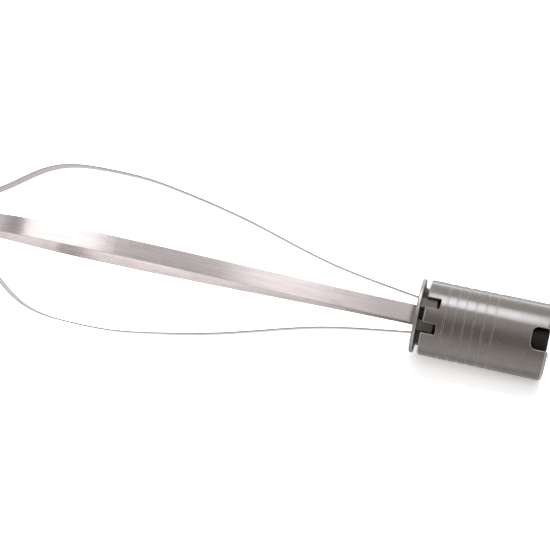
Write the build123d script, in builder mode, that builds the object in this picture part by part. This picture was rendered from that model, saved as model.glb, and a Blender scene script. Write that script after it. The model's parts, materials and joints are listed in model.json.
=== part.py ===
from build123d import *
import os
from math import asin, atan2, cos, hypot, radians, sin, tan

# Whisk attachment of an immersion blender, lying on a level surface, in millimetres.
# +X runs from the whisk's tip towards the blender and +Z is up.
# The origin is where the spindle's bore begins, just inside the drive socket's mouth.
# Stations along the whisk count from the outer face of the end disc:
# positive towards the blender, negative out into the cage of bands.
# Angles round the whisk count from the upper strand on the -Y side.

# Collar: a moulded grip sleeve that couples the whisk to the blender
collar_diameter = 32.0
collar_length = 52.0
collar_wall = 2.2
rim_round = 0.8
end_lead_in = 0.3
end_land = 0.1

# Finger grooves round the collar
groove_count = 6
groove_pitch = 4.0
groove_width = 0.8
groove_depth = 0.2
groove_wall_angle = 50.0
first_groove_from_rim = 8.6

# Two slots at the rim leave a snap tongue between them, on the front and on the back
slot_width = 4.6
slot_depth = 5.9
slot_corner = 0.5
slot_offset_angle = 19.8
opening_edge_round = 0.3

# Drive notches in the collar's blender end
notch_width = 9.2
notch_depth = 7.7
notch_corner = 2.5

# Web inside the collar that centres it on the hub's stem
web_from_rim = 18.4
web_thickness = 8.0

# End disc: a stainless plate on the hub's front that the bands leave through
disc_diameter = 31.4
disc_thickness = 1.6
disc_edge_round = 0.45
disc_gap = 2.0

# Hub: a moulded stem inside the collar
stem_diameter = 24.4
stem_recess = 0.6
stem_end_round = 1.1
stem_wall = 1.8
socket_boss_wall = 1.6
core_depth = 27.0
core_rib_count = 4
core_rib_thickness = 1.6

# Keys on the hub that stand in the collar's slots and turn the two together
key_width = 4.1
key_height = 2.1
key_end_gap = 1.3
key_edge_round = 0.5

# Snap ledge on the hub, hook on the tongue, and the ring that stops the collar's web
snap_bite = 0.55
hook_length = 2.1
ledge_length = 2.3
snap_width = 4.0
stop_ring_height = 1.0
stop_ring_length = 1.8
stop_ring_opening = 7.6

# Stainless bands, two closed loops that cross at the tip
band_width = 7.5
band_thickness = 0.6
cage_length = 198.0
cage_radius = 34.2
root_radius = 7.4
root_angle = 8.5
anchor_depth = 19.0
tip_flat_length = 8.0

# Form of a strand, as shares of the cage's radius and length
widest_share = 0.71
swell_shares = [(0.405, 0.2), (0.725, 0.4), (0.93, 0.57)]
closing_shares = [(0.865, 0.865), (0.5, 0.958)]

# Cross pins that hold the loops' ends in the hub
pin_diameter = 2.5
outer_pin_station = 11.0
inner_pin_station = 15.5
pin_end_chamfer = 0.3

# Drive socket in the stem, with a spring ring that grips the spindle
socket_diameter = 12.0
spindle_bore = 8.0
socket_seat_from_pin = 9.5
socket_lead_in = 0.6
ring_from_mouth = 13.0
ring_wire = 1.0
ring_proud = 0.25
ring_groove_room = 0.15
ring_opening_angle = 50.0

# Clearances between pieces
slide_clearance = 0.15
press_clearance = 0.05
band_clearance = 0.1
pin_hole_clearance = 0.1

collar_radius = collar_diameter / 2
collar_bore = collar_radius - collar_wall
end_round = collar_wall - end_lead_in - end_land
stem_radius = stem_diameter / 2
socket_radius = socket_diameter / 2
pin_radius = pin_diameter / 2

# Stations that the pieces share
collar_start = disc_thickness + disc_gap
collar_end = collar_start + collar_length
stem_end = collar_end - stem_recess
bore_start = stem_end - socket_lead_in
socket_length = stem_end - inner_pin_station - socket_seat_from_pin
web_start = collar_start + web_from_rim
web_end = web_start + web_thickness
slot_end = collar_start + slot_depth
key_end = slot_end - key_end_gap
hook_end = collar_start + hook_length
ledge_start = hook_end + slide_clearance
groove_stations = [
    collar_start + first_groove_from_rim + groove_pitch * index for index in range(groove_count)
]


def strand_base(station):
    """Point of a strand's straight, slanted end, which the hub holds."""
    return (root_radius - station * tan(radians(root_angle)), station)


def draw_half_loop(length):
    """Draw half of a loop's centre line: anchored end, swelling strand, flat crossing."""
    root = strand_base(0)
    swell = [(cage_radius * out, -length * along) for out, along in swell_shares]
    widest = (cage_radius, -length * widest_share)
    closing = [(cage_radius * out, -length * along) for out, along in closing_shares]
    flat_edge = (tip_flat_length / 2, -length)
    outward = (sin(radians(root_angle)), -cos(radians(root_angle)))
    Line(strand_base(anchor_depth), root)
    Spline(root, *swell, widest, tangents=[outward, (0, -1)])
    Spline(widest, *closing, flat_edge, tangents=[(0, -1), (-1, 0)])
    Line(flat_edge, (0, -length))


def floor_angle(point):
    """Tilt of a floor that touches the collar's rounded end and a lower strand at this point."""
    drop = (point.X + (band_thickness + band_width) / 2) * cos(radians(45))
    run = collar_end - end_round - point.Y
    fall = drop - (collar_radius - end_round)
    return atan2(fall, run) - asin(end_round / hypot(run, fall))


# The whisk rests on two lower strands and on the edge of the collar's blender end
with BuildLine() as strand:
    draw_half_loop(cage_length - band_thickness / 2)
strand_samples = [strand.wire() @ (step / 400) for step in range(401)]
tilt = max(floor_angle(point) for point in strand_samples)

axis_direction = Vector(cos(tilt), 0, -sin(tilt))
upward = Vector(sin(tilt), 0, cos(tilt))
disc_centre = axis_direction * -bore_start
disc_plane = Plane(origin=disc_centre, x_dir=upward + Vector(0, -1, 0), z_dir=axis_direction)
whisk_axis = Axis(disc_centre, axis_direction)


def station_plane(station):
    """Plane square to the whisk's axis at a station."""
    return disc_plane.offset(station)


def radial_direction(angle):
    return disc_plane.x_dir * cos(radians(angle)) + disc_plane.y_dir * sin(radians(angle))


def section_plane(angle):
    """Plane through the axis: local X is the radius, local Y is the station."""
    radial = radial_direction(angle)
    return Plane(origin=disc_centre, x_dir=radial, z_dir=radial.cross(axis_direction))


def facing_plane(angle):
    """Plane along the axis that faces outward: local X runs round, local Y is the station."""
    radial = radial_direction(angle)
    return Plane(origin=disc_centre, x_dir=axis_direction.cross(radial), z_dir=radial)


def is_on_grip(edge):
    """True for an edge on the collar's outside, between its rounded rim and rounded end."""
    place = disc_plane.to_local_coords(edge.center())
    grip_start = collar_start + rim_round + opening_edge_round
    grip_end = collar_end - end_round - opening_edge_round
    on_outside = hypot(place.X, place.Y) > collar_radius - opening_edge_round
    return on_outside and grip_start < place.Z < grip_end


outer_angle = 0
inner_angle = 90
front_and_back = [0, 180]
slot_angles = [
    side + sign * slot_offset_angle for side in front_and_back for sign in (-1, 1)
]

# Collar, revolved from a section that is clear of the slots and notches
with BuildPart() as collar:
    with BuildSketch(section_plane(inner_angle)) as collar_section:
        with BuildLine():
            Polyline(
                (collar_bore, collar_start),
                (collar_radius, collar_start),
                (collar_radius, collar_end),
                (collar_bore, collar_end),
                (collar_bore, web_end),
                (stem_radius + slide_clearance, web_end),
                (stem_radius + slide_clearance, web_start),
                (collar_bore, web_start),
                close=True,
            )
        make_face()
        fillet(collar_section.vertices().group_by(Axis.X)[-1].sort_by(Axis.Y)[0], rim_round)
        fillet(collar_section.vertices().group_by(Axis.X)[-1].sort_by(Axis.Y)[-1], end_round)
        mouth_corner = collar_section.vertices().group_by(Axis.Y)[-1].sort_by(Axis.X)[0]
        chamfer(mouth_corner, end_lead_in)
        with Locations(*[(collar_radius, groove) for groove in groove_stations]):
            Trapezoid(
                groove_width,
                groove_depth,
                groove_wall_angle,
                rotation=90,
                align=(Align.CENTER, Align.MIN),
                mode=Mode.SUBTRACT,
            )
    revolve(axis=whisk_axis)

    # Hook on the inside of each tongue's end
    for side in front_and_back:
        with BuildSketch(facing_plane(side).offset(stem_radius + slide_clearance)):
            with Locations((0, collar_start + hook_length / 2)):
                Rectangle(snap_width, hook_length)
        extrude(amount=collar_bore + collar_wall / 2 - stem_radius - slide_clearance)

    for angle in slot_angles:
        with BuildSketch(facing_plane(angle)) as slot_shape:
            with Locations((0, slot_end)):
                Rectangle(slot_width, 2 * slot_depth, align=(Align.CENTER, Align.MAX))
            fillet(slot_shape.vertices().group_by(Axis.Y)[-1], slot_corner)
        extrude(amount=collar_radius + 1, mode=Mode.SUBTRACT)
        fillet(collar.edges(Select.LAST).filter_by(is_on_grip), opening_edge_round)

    for side in front_and_back:
        with BuildSketch(facing_plane(side)) as notch_shape:
            with Locations((0, collar_end - notch_depth)):
                Rectangle(notch_width, 2 * notch_depth, align=(Align.CENTER, Align.MIN))
            fillet(notch_shape.vertices().group_by(Axis.Y)[0], notch_corner)
        extrude(amount=collar_radius + 1, mode=Mode.SUBTRACT)
        fillet(collar.edges(Select.LAST).filter_by(is_on_grip), opening_edge_round)


def cut_band_slots():
    """Cut the slanted slots for the four band ends, right through the disc into the hub."""
    for angle in (outer_angle, inner_angle, outer_angle + 180, inner_angle + 180):
        with BuildSketch(section_plane(angle)) as slot_side:
            with BuildLine():
                Line(strand_base(anchor_depth + band_clearance), strand_base(-disc_thickness))
            trace(line_width=band_thickness + 2 * band_clearance)
        extrude(
            slot_side.sketch,
            amount=band_width / 2 + band_clearance,
            both=True,
            mode=Mode.SUBTRACT,
        )


# End disc: the strands spread beyond it, so it can't slide off the hub's front
with BuildPart() as end_disc:
    with BuildSketch(disc_plane):
        Circle(disc_diameter / 2)
    extrude(amount=disc_thickness)
    fillet(end_disc.edges(), disc_edge_round)
    cut_band_slots()

# Hub
with BuildPart() as whisk_hub:
    with BuildSketch(section_plane(0)) as hub_section:
        with Locations((0, disc_thickness)):
            Rectangle(stem_radius, stem_end - disc_thickness, align=(Align.MIN, Align.MIN))
        stem_corner = hub_section.vertices().group_by(Axis.Y)[-1].sort_by(Axis.X)[-1]
        fillet(stem_corner, stem_end_round)
    revolve(axis=whisk_axis)

    # Keys in the collar's slots
    for angle in slot_angles:
        with BuildSketch(facing_plane(angle).offset(stem_radius - 1)) as key_shape:
            with Locations((0, disc_thickness)):
                Rectangle(key_width, key_end - disc_thickness, align=(Align.CENTER, Align.MIN))
            fillet(key_shape.vertices().group_by(Axis.Y)[-1], key_edge_round)
        extrude(amount=key_height + 1)

    # Ledge behind each tongue's hook
    for side in front_and_back:
        with BuildSketch(facing_plane(side).offset(stem_radius - 1)):
            with Locations((0, ledge_start)):
                Rectangle(snap_width, ledge_length, align=(Align.CENTER, Align.MIN))
        extrude(amount=1 + slide_clearance + snap_bite)

    # Ring that the collar's web comes up against, open where the hooks slide past
    with BuildSketch(station_plane(web_start - slide_clearance)):
        Circle(stem_radius + stop_ring_height)
        Circle(stem_radius - 1, mode=Mode.SUBTRACT)
        Rectangle(stem_diameter + 4 * stop_ring_height, stop_ring_opening, mode=Mode.SUBTRACT)
    extrude(amount=-stop_ring_length)

    # Stem cored out from the blender's end, round a ribbed boss for the socket
    with BuildSketch(station_plane(stem_end)):
        Circle(stem_radius - stem_wall)
        Circle(socket_radius + socket_boss_wall, mode=Mode.SUBTRACT)
        with PolarLocations((stem_radius + socket_radius) / 2, core_rib_count, start_angle=45):
            Rectangle(stem_diameter, core_rib_thickness, mode=Mode.SUBTRACT)
    extrude(amount=-core_depth, mode=Mode.SUBTRACT)
    with BuildSketch(station_plane(stem_end)):
        Circle(socket_radius + press_clearance)
    extrude(amount=-socket_length - press_clearance, mode=Mode.SUBTRACT)

    cut_band_slots()

    # Holes for the cross pins
    for angle, station in ((outer_angle, outer_pin_station), (inner_angle, inner_pin_station)):
        with BuildSketch(facing_plane(angle)):
            with Locations((0, station)):
                Circle(pin_radius + press_clearance)
        extrude(amount=stem_radius + stop_ring_height, both=True, mode=Mode.SUBTRACT)


def bend_loop(angle, length, pin_station):
    """One band bent to a loop in the plane at this angle, with a pin hole in each end."""
    with BuildSketch(section_plane(angle)) as band_edge:
        with BuildLine():
            draw_half_loop(length)
        trace(line_width=band_thickness)
        mirror(about=Plane.YZ)
    extrude(band_edge.sketch, amount=band_width / 2, both=True)
    with BuildSketch(facing_plane(angle)) as pin_hole:
        with Locations((0, pin_station)):
            Circle(pin_radius + pin_hole_clearance)
    extrude(pin_hole.sketch, amount=stem_radius, both=True, mode=Mode.SUBTRACT)


def turn_pin(angle, station):
    """Cross pin through the hub and both ends of one loop."""
    with BuildSketch(facing_plane(angle)) as pin_section:
        with Locations((0, station)):
            Circle(pin_radius)
    pin_body = extrude(pin_section.sketch, amount=stem_radius - press_clearance, both=True)
    chamfer(pin_body.edges().filter_by(GeomType.CIRCLE), pin_end_chamfer)


# Band loops: the outer one passes over the inner one at the tip
with BuildPart() as outer_loop:
    bend_loop(outer_angle, cage_length - band_thickness / 2, outer_pin_station)

with BuildPart() as inner_loop:
    bend_loop(inner_angle, cage_length - 1.5 * band_thickness, inner_pin_station)

# Cross pins
with BuildPart() as outer_loop_pin:
    turn_pin(outer_angle, outer_pin_station)

with BuildPart() as inner_loop_pin:
    turn_pin(inner_angle, inner_pin_station)

# Drive socket: a turned sleeve with a groove for the spring ring
ring_station = stem_end - ring_from_mouth
ring_radius = spindle_bore / 2 - ring_proud + ring_wire / 2
with BuildPart() as drive_socket:
    with BuildSketch(section_plane(0)) as socket_section:
        with Locations((spindle_bore / 2, stem_end)):
            Rectangle(
                socket_radius - spindle_bore / 2, socket_length, align=(Align.MIN, Align.MAX)
            )
        chamfer(socket_section.vertices().group_by(Axis.Y)[-1], socket_lead_in)
        with Locations((ring_radius, ring_station)):
            Rectangle(
                ring_wire + 2 * ring_groove_room,
                ring_wire + 2 * ring_groove_room,
                mode=Mode.SUBTRACT,
            )
    revolve(axis=whisk_axis)

# Spring ring: an open ring of round wire, standing a little proud of the bore
with BuildPart() as retaining_ring:
    with BuildSketch(section_plane(ring_opening_angle / 2)):
        with Locations((ring_radius, ring_station)):
            Circle(ring_wire / 2)
    revolve(axis=whisk_axis, revolution_arc=360 - ring_opening_angle)

pieces = {
    "collar": collar,
    "end_disc": end_disc,
    "whisk_hub": whisk_hub,
    "outer_loop": outer_loop,
    "inner_loop": inner_loop,
    "outer_loop_pin": outer_loop_pin,
    "inner_loop_pin": inner_loop_pin,
    "drive_socket": drive_socket,
    "retaining_ring": retaining_ring,
}
os.makedirs("parts", exist_ok=True)
for piece_name, piece in pieces.items():
    piece.part.label = piece_name
    export_step(piece.part, f"parts/{piece_name}.step")
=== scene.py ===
# %% [markdown]
# # A whisk attachment for an immersion blender
#
# The whisk is two closed loops of flat stainless strip in a moulded hub, with a grooved collar
# that couples it to the blender. Its solids are already at their real size and place, so this
# lesson is about looks: a camera, steel bands with rolled edges, moulded and metal finishes,
# and the soft light of a product photograph. Lengths are in metres.

# %% Load the frame
import json
import math

import bpy
from mathutils import Matrix, Vector


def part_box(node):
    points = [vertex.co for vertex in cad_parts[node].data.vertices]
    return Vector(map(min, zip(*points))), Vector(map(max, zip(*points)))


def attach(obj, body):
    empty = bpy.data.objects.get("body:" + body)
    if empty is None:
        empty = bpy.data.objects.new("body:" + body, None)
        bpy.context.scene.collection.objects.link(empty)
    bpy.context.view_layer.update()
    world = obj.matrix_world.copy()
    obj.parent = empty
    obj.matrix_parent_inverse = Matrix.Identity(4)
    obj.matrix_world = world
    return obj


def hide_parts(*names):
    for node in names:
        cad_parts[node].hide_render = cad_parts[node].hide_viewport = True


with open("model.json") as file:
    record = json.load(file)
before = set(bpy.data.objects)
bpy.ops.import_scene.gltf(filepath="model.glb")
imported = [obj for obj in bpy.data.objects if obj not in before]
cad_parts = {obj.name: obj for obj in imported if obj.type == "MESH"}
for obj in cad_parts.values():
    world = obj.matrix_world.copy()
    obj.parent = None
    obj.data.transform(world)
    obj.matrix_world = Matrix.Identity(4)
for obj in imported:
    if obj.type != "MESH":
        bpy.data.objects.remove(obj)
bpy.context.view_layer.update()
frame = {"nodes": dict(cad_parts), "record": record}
print("nodes:", ", ".join(sorted(frame["nodes"])))

# %% [markdown]
# ## The whisk's own directions
#
# The whisk lies tilted on its side, so hardly anything on it is parallel to X, Y or Z. Its axis
# is written in the record with the drive bore. The two loops stand in planes through that axis,
# turned 45 degrees to either side of upright. Every pattern below is laid out along these
# directions, so that brushing runs along a band and turning marks run round a bore.

# %% Directions along and across the whisk
record_mounts = {mount["name"]: mount for mount in frame["record"]["mounts"]}
axis = Vector(record_mounts["drive_bore"]["axis"]).normalized()
upright = (Vector((0, 0, 1)) - axis * axis.z).normalized()
sideways = axis.cross(upright)
outer_plane = (upright + sideways).normalized()
inner_plane = axis.cross(outer_plane)
print("axis:", tuple(round(part, 4) for part in axis))

# %% [markdown]
# ## The camera
#
# The picture was taken from the front, a little to the right, looking down at about 39 degrees.
# The lens is long, so the far end of the cage hardly shrinks. The picture's left edge cuts the
# whisk's tip off, and the camera keeps that framing.

# %% Place the camera
AZIMUTH = math.radians(14.52)
ELEVATION = math.radians(39.22)
CAMERA_PLACE = Vector((0.0005, -0.44787, 0.39008))
FOCAL_LENGTH_IN_PIXELS = 1410.1
PHOTO_WIDTH_IN_PIXELS = 550
SENSOR_WIDTH = 36.0

camera_data = bpy.data.cameras.new("camera")
camera_data.sensor_width = SENSOR_WIDTH
camera_data.lens = SENSOR_WIDTH * FOCAL_LENGTH_IN_PIXELS / PHOTO_WIDTH_IN_PIXELS
camera_data.clip_start = 0.01
camera = bpy.data.objects.new("camera", camera_data)
camera.location = CAMERA_PLACE
camera.rotation_euler = (math.pi / 2 - ELEVATION, 0, AZIMUTH)
bpy.context.scene.collection.objects.link(camera)
bpy.context.scene.camera = camera
print("lens:", round(camera_data.lens, 1), "mm")

# %% [markdown]
# ## Shader maths as Python
#
# A finish is worked out from where a point lies on the whisk, which takes many small nodes.
# Three small classes keep that readable. Value wraps one output of a node and turns +, -, * and /
# into Math nodes. Nodes adds nodes to a tree, for a material and for the world alike. Finish is
# the tree of one material, and knows the places on the whisk that its patterns follow.
#
# The step named above is used all over: value.above(2, 3) is 0 up to 2, 1 from 3 on, and climbs
# smoothly in between, so that a pattern starts and ends without a hard line.

# %% A value that does arithmetic
class Value:
    """One number in a node tree that varies from place to place."""

    def __init__(self, nodes, socket):
        self.nodes = nodes
        self.socket = socket

    def math(self, operation, *others):
        return self.nodes.add(
            "ShaderNodeMath", {"operation": operation}, dict(enumerate((self, *others)))
        )

    def __add__(self, other):
        return self.math("ADD", other)

    def __sub__(self, other):
        return self.math("SUBTRACT", other)

    def __rsub__(self, other):
        return (self * -1.0) + other

    def __mul__(self, other):
        return self.math("MULTIPLY", other)

    def __truediv__(self, other):
        return self.math("DIVIDE", other)

    __radd__ = __add__
    __rmul__ = __mul__

    def squared(self):
        return self * self

    def root(self):
        return self.math("SQRT")

    def size(self):
        """The value without its sign."""
        return self.math("ABSOLUTE")

    def above(self, start, end):
        """0 below start, 1 above end, and a smooth step between them."""
        return self.nodes.add(
            "ShaderNodeMapRange",
            {"interpolation_type": "SMOOTHSTEP"},
            {"Value": self, "From Min": start, "From Max": end},
        )


# %% One way to add a node
class Nodes:
    """A node tree and the nodes that are added to it."""

    def __init__(self, tree):
        self.tree = tree

    def add(self, kind, settings=None, inputs=None, output=0):
        """Add a node: settings first, then its sockets by name or number; gives one output."""
        node = self.tree.nodes.new(kind)
        for name, setting in (settings or {}).items():
            setattr(node, name, setting)
        for name, value in (inputs or {}).items():
            self.fill(node.inputs[name], value)
        return Value(self, node.outputs[output])

    def fill(self, socket, value):
        if isinstance(value, Value):
            self.tree.links.new(value.socket, socket)
        else:
            socket.default_value = value

    def vector(self, operation, *vectors):
        """One vector worked out from one or two others."""
        return self.add(
            "ShaderNodeVectorMath", {"operation": operation}, dict(enumerate(vectors))
        )

    def dot(self, first, second):
        """How far one vector reaches along another."""
        return self.add(
            "ShaderNodeVectorMath",
            {"operation": "DOT_PRODUCT"},
            {0: first, 1: second},
            output="Value",
        )

    def scaled(self, vector, size):
        return self.add(
            "ShaderNodeVectorMath", {"operation": "SCALE"}, {0: vector, "Scale": size}
        )

    def rays(self, kind):
        """1 for rays of one kind, such as the camera's own, and 0 for all others."""
        return self.add("ShaderNodeLightPath", output=kind)


# %% A material in the making
class Finish(Nodes):
    """A material, its shader, and the places on the whisk that its patterns follow."""

    def __init__(self, name):
        self.material = bpy.data.materials.new(name)
        self.material.use_nodes = True
        super().__init__(self.material.node_tree)
        self.shader = self.tree.nodes["Principled BSDF"]
        self.position = self.add("ShaderNodeTexCoord", output="Object")
        self.facing = self.add("ShaderNodeTexCoord", output="Normal")

    def along(self, direction):
        """How far a point lies along a direction, in metres."""
        return self.dot(self.position, direction)

    def from_axis(self):
        """The way straight out from the whisk's axis to a point."""
        return self.vector("SUBTRACT", self.position, self.scaled(axis, self.along(axis)))

    def radius(self):
        """A point's distance from the whisk's axis, in metres."""
        return (self.along(upright).squared() + self.along(sideways).squared()).root()

    def place(self, x, y, z):
        """A point for a texture, made of three values."""
        return self.add("ShaderNodeCombineXYZ", inputs={"X": x, "Y": y, "Z": z})

    def noise(self, point, detail=2.0, roughness=0.5):
        """Smooth random values round 0.5."""
        return self.add(
            "ShaderNodeTexNoise",
            inputs={"Vector": point, "Scale": 1.0, "Detail": detail, "Roughness": roughness},
        )

    def blend(self, amount, first, second):
        """A colour between two colours."""
        return self.add(
            "ShaderNodeMix",
            {"data_type": "RGBA", "clamp_factor": True},
            {"Factor": amount, "A": first, "B": second},
            output="Result",
        )

    def bump(self, height, distance):
        """A surface relief from heights between 0 and 1, distance metres deep."""
        return self.add("ShaderNodeBump", inputs={"Height": height, "Distance": distance})

    def set(self, **sockets):
        """Set or link the shader's sockets, with _ for each space in a name."""
        for name, value in sockets.items():
            self.fill(self.shader.inputs[name.replace("_", " ")], value)


# %% [markdown]
# ## Moulded plastic
#
# The collar is dark warm grey plastic with a satin skin. Up close such a skin is a fine, even
# spark texture, a little glossier where hands rub it, and its colour is mottled very slightly
# where the plastic flowed. One flat colour would look like clay, and a painted texture would
# have to be unwrapped round every opening. So three noises of different sizes, read straight
# from the place on the piece, give the spark grain, the mottle and the worn patches. The grain
# goes to the bump, while the others only move colour and gloss.
#
# Along the grooves' walls and the rounded edges of the openings the skin is painted paler, a
# painted highlight for the glints that those edges catch. Those are the places where the surface
# no longer faces straight away from the whisk's axis, which the shader can work out. The hub is
# coloured near-black, a painted shade for the dark inside the collar, and only its keys, which
# stand proud of the stem, are painted grey, a painted light where they catch the light.

# %% Moulded skin
GRAIN_SIZE = 0.00028
GRAIN_DEPTH = 0.000005
MOTTLE_SIZE = 0.009
WEAR_SIZE = 0.016
GRAIN_IN_ROUGHNESS = 0.12
WEAR_IN_ROUGHNESS = 0.05


def moulded_skin(name, dark, light, roughness):
    """Satin plastic with a spark grain and hand-rubbed gloss, and its faintly mottled colour."""
    finish = Finish(name)
    grain = finish.noise(finish.scaled(finish.position, 1 / GRAIN_SIZE), detail=1.0)
    mottle = finish.noise(finish.scaled(finish.position, 1 / MOTTLE_SIZE), 4.0, 0.6)
    rubbed = finish.noise(finish.scaled(finish.position, 1 / WEAR_SIZE), 3.0).above(0.42, 0.62)
    finish.set(
        Roughness=roughness + (grain - 0.5) * GRAIN_IN_ROUGHNESS - rubbed * WEAR_IN_ROUGHNESS,
        Normal=finish.bump(grain, GRAIN_DEPTH),
    )
    print("moulded skin:", name)
    return finish, finish.blend(mottle.above(0.3, 0.7), (*dark, 1), (*light, 1))


# %% The grip's plastic, with painted highlights along its edges
GRIP_DARK = (0.092, 0.073, 0.057)
GRIP_LIGHT = (0.108, 0.086, 0.068)
# A painted highlight: the grooves' walls and rounded edges are painted paler for the glints they
# catch.
EDGE_PAINTED_HIGHLIGHT = (0.4, 0.375, 0.35, 1)


def grip_finish():
    finish, skin = moulded_skin("grip_plastic", GRIP_DARK, GRIP_LIGHT, roughness=0.26)
    outward = finish.dot(finish.facing, finish.vector("NORMALIZE", finish.from_axis()))
    # This mask marks the edges that get the painted highlight.
    edge = outward.above(0.15, 0.4) * (1 - outward.above(0.9, 0.97))
    finish.set(
        Base_Color=finish.blend(edge, skin, EDGE_PAINTED_HIGHLIGHT),
        Specular_IOR_Level=1.0,
    )
    return finish.material


# %% The hub's plastic, near-black as a painted shade, with keys painted greyer as a painted light
# Painted shade: the hub is coloured near-black so that the inside of the collar stays dark.
HUB_DARK = (0.007, 0.0065, 0.006)
HUB_LIGHT = (0.012, 0.011, 0.01)
# Painted light: the keys are painted paler where they catch the light.
KEY_PAINTED_LIGHT = (0.12, 0.105, 0.088, 1)
KEYS_FROM_RADIUS = 0.0126
KEYS_TO_RADIUS = 0.0129


def hub_finish():
    finish, skin = moulded_skin("hub_plastic", HUB_DARK, HUB_LIGHT, roughness=0.4)
    # This mask marks the keys that get the painted light.
    keys = finish.radius().above(KEYS_FROM_RADIUS, KEYS_TO_RADIUS)
    finish.set(
        Base_Color=finish.blend(keys, skin, KEY_PAINTED_LIGHT),
        Specular_IOR_Level=0.2,
    )
    return finish.material


# %% [markdown]
# ## Brushed strip and turned steel
#
# The strip is brushed along its length before it is bent, so the fine lines follow each loop
# all the way round. An anisotropic shader would only stretch the highlights, and lines drawn in
# an image would need the loop unrolled. But each loop lies in a plane, so the distance across
# the band is simply the distance from that plane, and it stays the same along a brushed line. A
# noise that is packed tightly across the band and stretched in the other two directions follows
# the bend by itself. The cut edges were never brushed and are duller. Where the strip comes out
# of the hub it is painted darker too, a painted shade. Turned parts are marked in rings, so there
# the tight directions are the distance from the axis and the distance along it.

# %% Brushed strip
BRUSH_PITCH = 0.00022
BRUSH_STRETCH = 0.05
BRUSH_DEPTH = 0.0000016
STREAK_PITCH = 0.0016
STREAK_STRETCH = 0.018
# Painted shade: the strip is painted darker where it comes out of the hub.
ROOT_SHADE_FROM = -0.085
ROOT_SHADE_TO = -0.058
ROOT_SHADE_AMOUNT = 0.8
STRIP_DARK = (0.48, 0.43, 0.43, 1)
STRIP_LIGHT = (0.70, 0.63, 0.625, 1)
# The cut edges' duller colour, also used for the painted shade where the strip leaves the hub.
STRIP_DULL_AND_SHADED = (0.34, 0.315, 0.31, 1)


def brushed_strip(name, across):
    """Stainless strip, brushed along a loop whose width runs in the direction across."""
    finish = Finish(name)
    out = axis.cross(across)
    width = finish.along(across)
    length = finish.along(axis)
    reach = finish.along(out)
    lines = finish.noise(
        finish.place(width / BRUSH_PITCH, length / BRUSH_STRETCH, reach / BRUSH_STRETCH),
        detail=3.0,
        roughness=0.65,
    )
    streaks = finish.noise(
        finish.place(width / STREAK_PITCH, length / STREAK_STRETCH, reach / STREAK_STRETCH)
    )
    tone = (lines - 0.5) * 0.9 + (streaks - 0.5) * 0.7 + 0.5
    cut_edge = finish.dot(finish.facing, across).size().above(0.5, 0.8)
    # Duller cut edges, plus the painted shade where the strip comes out of the hub.
    dull_edges_and_root_shade = cut_edge + length.above(ROOT_SHADE_FROM, ROOT_SHADE_TO) * ROOT_SHADE_AMOUNT
    face = finish.blend(tone, STRIP_DARK, STRIP_LIGHT)
    finish.set(
        Base_Color=finish.blend(dull_edges_and_root_shade, face, STRIP_DULL_AND_SHADED),
        Metallic=1.0,
        Roughness=0.25 + (lines - 0.5) * 0.2 + cut_edge * 0.15,
        Normal=finish.bump(lines, BRUSH_DEPTH),
    )
    print("finish:", name)
    return finish.material


# %% Turned steel
RING_DEPTH = 0.000002


def turned_steel(name, pitch, dark, light, roughness):
    """Stainless steel with the fine rings that a lathe leaves."""
    finish = Finish(name)
    rings = finish.noise(
        finish.place(finish.along(axis) / pitch, finish.radius() / pitch, 0.0)
    )
    stain = finish.noise(finish.scaled(finish.position, 1 / MOTTLE_SIZE), detail=3.0)
    finish.set(
        Base_Color=finish.blend((rings - 0.5) * 0.8 + stain, (*dark, 1), (*light, 1)),
        Metallic=1.0,
        Roughness=roughness + (rings - 0.5) * 0.16,
        Normal=finish.bump(rings, RING_DEPTH),
    )
    print("finish:", name)
    return finish.material


# %% Make the finishes
grip_plastic = grip_finish()
hub_plastic = hub_finish()
outer_strip_steel = brushed_strip("outer_strip_steel", inner_plane)
inner_strip_steel = brushed_strip("inner_strip_steel", outer_plane)
disc_steel = turned_steel(
    "disc_steel",
    pitch=0.00035,
    dark=(0.19, 0.183, 0.168),
    light=(0.3, 0.289, 0.27),
    roughness=0.45,
)
socket_steel = turned_steel(
    "socket_steel",
    pitch=0.00018,
    dark=(0.46, 0.44, 0.43),
    light=(0.7, 0.68, 0.66),
    roughness=0.3,
)

# %% [markdown]
# ## Bands with rolled edges
#
# Real strip isn't cut square: its edges are rolled round, and that is what draws the thin bright
# line along each band. The solids have square edges. A shader can fake a round edge, but only in
# the light and not in the outline. So each loop is copied, its loose triangles are merged into
# one skin, and its long edges are bevelled in three steps. The copy stands in for the solid and
# keeps its size and place.
#
# Shiny flat strip shows every fault in its shading. So the normals that came with the solid are
# cleared, and a Weighted Normal modifier lets the wide faces decide: they stay flat, and all the
# rounding is left to the rolled edge.

# %% Roll the edges of each loop
MERGE_WITHIN = 0.000001
EDGE_ROLL = 0.00016
EDGE_STEPS = 3
SHARP_EDGE = math.radians(35)
SMOOTH_BELOW = math.radians(40)


def deselect_all():
    bpy.ops.object.select_all(action="DESELECT")


def copy_of_node(node, name):
    """A new object with its own copy of a node's mesh."""
    piece = bpy.data.objects.new(name, frame["nodes"][node].data.copy())
    piece.data.materials.clear()
    bpy.context.scene.collection.objects.link(piece)
    deselect_all()
    piece.select_set(True)
    bpy.context.view_layer.objects.active = piece
    return piece


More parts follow.
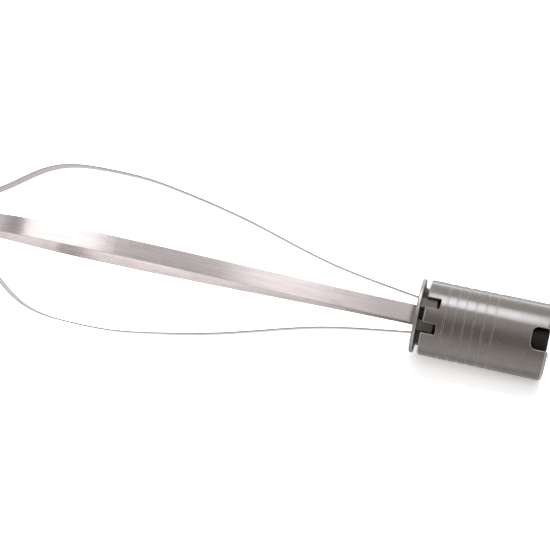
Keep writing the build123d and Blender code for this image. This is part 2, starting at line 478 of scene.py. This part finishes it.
def roll_edges(node, name, material):
    """A band loop with its square edges rolled round."""
    piece = copy_of_node(node, name)
    bpy.ops.mesh.customdata_custom_splitnormals_clear()
    bpy.ops.object.mode_set(mode="EDIT")
    bpy.ops.mesh.select_all(action="SELECT")
    bpy.ops.mesh.remove_doubles(threshold=MERGE_WITHIN)
    bpy.ops.mesh.tris_convert_to_quads()
    bpy.ops.mesh.select_all(action="DESELECT")
    bpy.ops.mesh.select_mode(type="EDGE")
    bpy.ops.mesh.edges_select_sharp(sharpness=SHARP_EDGE)
    bpy.ops.mesh.bevel(offset=EDGE_ROLL, segments=EDGE_STEPS, clamp_overlap=True)
    bpy.ops.object.mode_set(mode="OBJECT")
    bpy.ops.object.shade_smooth_by_angle(angle=SMOOTH_BELOW)
    bpy.ops.object.modifier_add(type="WEIGHTED_NORMAL")
    bpy.ops.object.modifier_apply(modifier=piece.modifiers[0].name)
    piece.data.materials.append(material)
    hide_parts(node)
    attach(piece, "root")
    print(name, len(piece.data.polygons), "faces")


roll_edges("outer_loop", "outer_band", outer_strip_steel)
roll_edges("inner_loop", "inner_band", inner_strip_steel)

# %% [markdown]
# ## Finishes on the solids that stay
#
# The other solids already have their real shape, down to the small rounds on their edges.
# Copies would gain nothing, so they stay as they are and only get a finish: satin plastic for
# the grip and the hub, and steel turned in rings for the end disc, the pins, the drive socket
# and its spring ring.

# %% Give each remaining solid its finish
node_finishes = {
    "collar": grip_plastic,
    "end_disc": disc_steel,
    "whisk_hub": hub_plastic,
    "outer_loop_pin": socket_steel,
    "inner_loop_pin": socket_steel,
    "drive_socket": socket_steel,
    "retaining_ring": socket_steel,
}
for node, material in node_finishes.items():
    node_mesh = frame["nodes"][node].data
    node_mesh.materials.clear()
    node_mesh.materials.append(material)
print("finished solids:", len(node_finishes))

# %% [markdown]
# ## Floor, world and lamps
#
# The photograph is lit by large soft lamps over a white sweep that is blown out to pure white,
# and the shadow on it is tight and dark. More light would bleach the whisk too, so the white
# comes from what the camera's rays see. For them the floor glows a little and has a colour
# brighter than white, which burns it out as the photograph's exposure does but keeps the
# collar's dark shadow. Away from the collar the glow alone is white. Mirror rays see a dimmer
# glow, so that the collar's underside shows its own shadow.

# %% A pale floor
COLLAR_MIDDLE = Vector((-0.03, 0.0, 0.0))
FLOOR_SIZE = 1.5
FLOOR_PALE = (0.84, 0.83, 0.82, 1)
FLOOR_SEEN = (2.0, 2.0, 2.0, 1)
GLOW_NEAR = 0.35
GLOW_FROM = 0.04
GLOW_TO = 0.18
GLOW_IN_MIRRORS = 0.5


def floor_finish():
    finish = Finish("floor_white")
    seen = finish.rays("Is Camera Ray") + finish.rays("Is Transmission Ray")
    far = finish.dot(finish.position, finish.position).root().above(GLOW_FROM, GLOW_TO)
    glow = far * (1 - GLOW_NEAR) + GLOW_NEAR
    finish.set(
        Base_Color=finish.blend(seen, FLOOR_PALE, FLOOR_SEEN),
        Roughness=0.9,
        Emission_Color=seen * glow + finish.rays("Is Glossy Ray") * GLOW_IN_MIRRORS,
        Emission_Strength=1.0,
    )
    return finish.material


deselect_all()
lowest = min(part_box(node)[0].z for node in frame["nodes"])
bpy.ops.mesh.primitive_plane_add(size=FLOOR_SIZE, location=(COLLAR_MIDDLE.x, 0, lowest))
floor = bpy.context.active_object
floor.name = "floor"
floor.data.materials.append(floor_finish())
print("floor at", round(lowest * 1000, 2), "mm")

# %% [markdown]
# The world is white to the camera and in mirrors, and gives only a little light of its own. In
# front of the whisk, above the floor, a real studio is darker, and the flat bands and the collar
# show that as their middle greys. So mirror rays see the world dimmer there. Black cards on
# stands would do the same, but would show in views from other sides.

# %% A white world, dimmer in front
WORLD_AMBIENT = 0.07
DIM_BY = 0.5
DIM_LESS_OVERHEAD = 0.7

world = bpy.data.worlds.new("studio")
bpy.context.scene.world = world
world.use_nodes = True
sky = Nodes(world.node_tree)
look = sky.add("ShaderNodeTexCoord", output="Generated")
height = sky.dot(look, (0, 0, 1))
frontward = sky.dot(look, (0, -1, 0)).above(-0.3, 0.2)
rightward = sky.dot(look, (1, 0, 0)).above(0.35, 0.6)
upward = height.above(0.05, 0.25) * (1 - height.above(0.66, 0.8) * DIM_LESS_OVERHEAD)
dim = upward * frontward * (1 - rightward)
seen = sky.rays("Is Camera Ray") + sky.rays("Is Transmission Ray")
mirrored = sky.rays("Is Glossy Ray") * (1 - WORLD_AMBIENT - dim * DIM_BY)
strength = seen * (1 - WORLD_AMBIENT) + mirrored + WORLD_AMBIENT
background = world.node_tree.nodes["Background"]
background.inputs["Color"].default_value = (1, 1, 1, 1)
sky.fill(background.inputs["Strength"], strength)
print("world:", world.name, "with", len(world.node_tree.nodes), "nodes")

# %% [markdown]
# Seven soft boxes and a card light the whisk. A box close above the collar draws the bright
# stripe along it, and a grid keeps it off the bands, which it would burn out. Wide ones in front
# and behind fill the collar's top, one at the horizon draws its far edge, and a glowing card on
# the floor lifts its underside, as the bright sweep does in the photograph. The left, right and
# side boxes are there for the bands and show as their brightest stretches. A box's brightness is
# what it looks like in a mirror, where 1 is white, and its power follows from that, its size
# and its grid.

# %% A soft lamp
def softbox(
    name, target, direction, distance, width, height, brightness, color=(1, 1, 1), grid=90
):
    """A rectangular lamp that shines at a target; its width runs along X as far as it can.

    A grid in front of it keeps its light within so many degrees of straight ahead.
    """
    back = Vector(direction).normalized()
    side = (Vector((1, 0, 0)) - back * back.x).normalized()
    lamp_data = bpy.data.lights.new(name, "AREA")
    lamp_data.shape = "RECTANGLE"
    lamp_data.size = width
    lamp_data.size_y = height
    half = math.radians(grid)
    lamp_data.spread = 2 * half
    lamp_data.energy = brightness * math.pi * width * height * (1 - half / math.tan(half))
    lamp_data.color = color
    lamp = bpy.data.objects.new(name, lamp_data)
    lamp.location = target + back * distance
    lamp.rotation_euler = Matrix((side, back.cross(side), back)).transposed().to_euler()
    bpy.context.scene.collection.objects.link(lamp)
    print("lamp", name, round(lamp_data.energy, 2), "W")


# %% Lamps for the collar
CARD_MIDDLE = Vector((-0.1, -0.16, lowest + 0.001))
COOL = (0.96, 0.96, 1.0)
WARM = (1.0, 0.96, 0.91)

# name, target, direction, distance, width, height, brightness, colour, grid in degrees
softbox("overhead_box", COLLAR_MIDDLE, (-0.02, 0.215, 0.976), 0.18, 0.12, 0.1, 10.5, COOL, 30)
softbox("front_box", COLLAR_MIDDLE, (-0.03, -0.3, 0.95), 0.9, 1.1, 0.42, 0.7)
softbox("back_box", COLLAR_MIDDLE, (-0.05, 0.76, 0.64), 1.0, 1.5, 0.9, 0.4)
softbox("horizon_box", COLLAR_MIDDLE, (-0.05, 0.99, 0.12), 1.2, 1.6, 0.28, 2.5)
softbox("floor_card", CARD_MIDDLE, (0, 0, -1), 0.0, 0.9, 0.28, 0.5, WARM)

# %% Lamps for the bands
CAGE_MIDDLE = Vector((-0.13, 0.0, 0.02))
CAGE_END = Vector((-0.215, -0.01, 0.02))

# name, target, direction, distance, width, height, brightness
softbox("left_box", CAGE_END, (-0.41, -0.57, 0.7), 0.6, 0.46, 0.23, 1.5)
softbox("right_box", CAGE_MIDDLE, (0.5, -0.55, 0.67), 0.5, 0.13, 0.14, 1.2)
softbox("side_box", COLLAR_MIDDLE, (0.785, -0.453, 0.423), 0.8, 0.4, 0.3, 1.0)

# %% [markdown]
# ## The view transform
#
# The view transform stays plain, so a colour renders about as it is written.

# %% Set a plain view transform
bpy.context.scene.view_settings.view_transform = "Standard"
